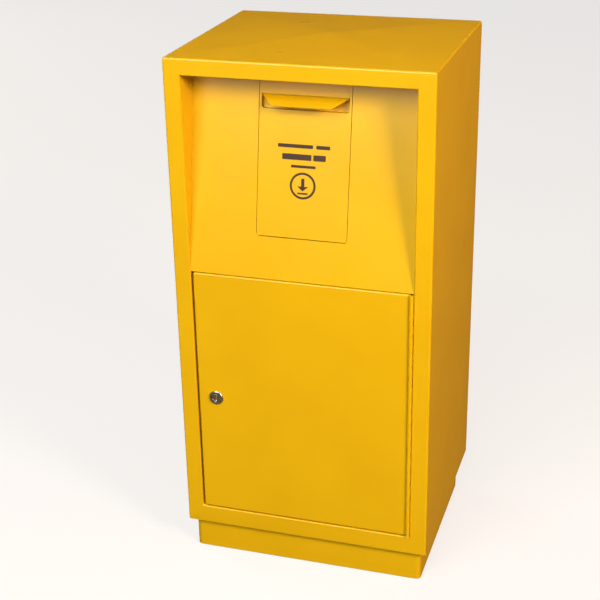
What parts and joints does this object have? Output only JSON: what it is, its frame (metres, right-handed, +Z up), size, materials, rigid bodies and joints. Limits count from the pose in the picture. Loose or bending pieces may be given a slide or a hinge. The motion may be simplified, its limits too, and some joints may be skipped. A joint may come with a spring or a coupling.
{
  "type": "sharps disposal cabinet",
  "caption": "Free-standing folded-steel sharps cabinet with a tilt-out deposit flap in a sloped recess and a hinged, cam-locked lower door.",
  "frame": {"origin": "centre of the body's footprint, on the floor under the plinth", "axes": "+Z up, -Y out of the front with the door and flap, +X to the door's hinge side"},
  "size_m": [0.406, 0.3517, 0.848],
  "materials": {
    "powder_coat": "glossy yellow powder coat with light orange peel",
    "zinc_steel": "zinc-plated sheet and bar",
    "fastener_steel": "dull plated fasteners and cam",
    "lock_chrome": "chrome-plated zinc casting",
    "pad_rubber": "matt black rubber",
    "bin_plastic": "satin moulded polypropylene",
    "label_ink": "screen-printed dark brown ink",
    "nylon": "natural nylon"
  },
  "bodies": {
    "cabinet": {"side_left": "powder_coat", "side_right": "powder_coat", "back_panel": "powder_coat", "top_panel": "powder_coat", "top_rail": "powder_coat", "bottom_rail": "powder_coat", "floor_panel": "powder_coat", "recess_roof": "powder_coat", "recess_wall_left": "powder_coat", "recess_wall_right": "powder_coat", "fascia_panel": "powder_coat", "plinth_front": "powder_coat", "plinth_back": "powder_coat", "plinth_left": "powder_coat", "plinth_right": "powder_coat", "hinge_leaf_frame": "powder_coat", "hinge_pin": "zinc_steel", "hinge_rivets_frame": "zinc_steel", "pivot_brackets": "zinc_steel", "pivot_rod": "zinc_steel", "rod_clips": "fastener_steel", "flap_stop_bracket": "zinc_steel", "flap_stop_pads": "pad_rubber", "throat_guard": "zinc_steel", "guard_screws": "zinc_steel", "strike_plate": "zinc_steel", "strike_rivets": "fastener_steel", "door_stop_pads": "pad_rubber", "bin_guides": "zinc_steel", "inner_bin": "bin_plastic", "bin_grip": "zinc_steel", "bin_grip_rivets": "fastener_steel"},
    "door": {"door_skin": "powder_coat", "door_stiffener": "powder_coat", "hinge_leaf_door": "powder_coat", "hinge_rivets_door": "zinc_steel", "lock_housing": "lock_chrome", "lock_washer": "fastener_steel", "lock_nut": "fastener_steel"},
    "lock": {"lock_plug": "lock_chrome", "lock_cam": "fastener_steel", "cam_screw": "fastener_steel"},
    "chute": {"flap_skin": "powder_coat", "pull_pocket": "powder_coat", "pull_lip": "powder_coat", "flap_cheek_left": "zinc_steel", "flap_cheek_right": "zinc_steel", "flap_tray": "zinc_steel", "pivot_bushes": "nylon", "flap_marks": "label_ink"}
  },
  "joints": [
    {"name": "door_hinge", "type": "hinge", "parent": "cabinet", "child": "door", "pos_m": [0.1727, -0.1745, 0.2955], "axis": [0, 0, 1], "range_deg": [0, 160]},
    {"name": "flap_pivot", "type": "hinge", "parent": "cabinet", "child": "chute", "pos_m": [0, -0.15371, 0.5799], "axis": [1, 0, 0], "range_deg": [0, 40]},
    {"name": "lock_turn", "type": "hinge", "parent": "door", "child": "lock", "pos_m": [-0.143, -0.174, 0.292], "axis": [0, 1, 0], "range_deg": [0, 90]}
  ]
}
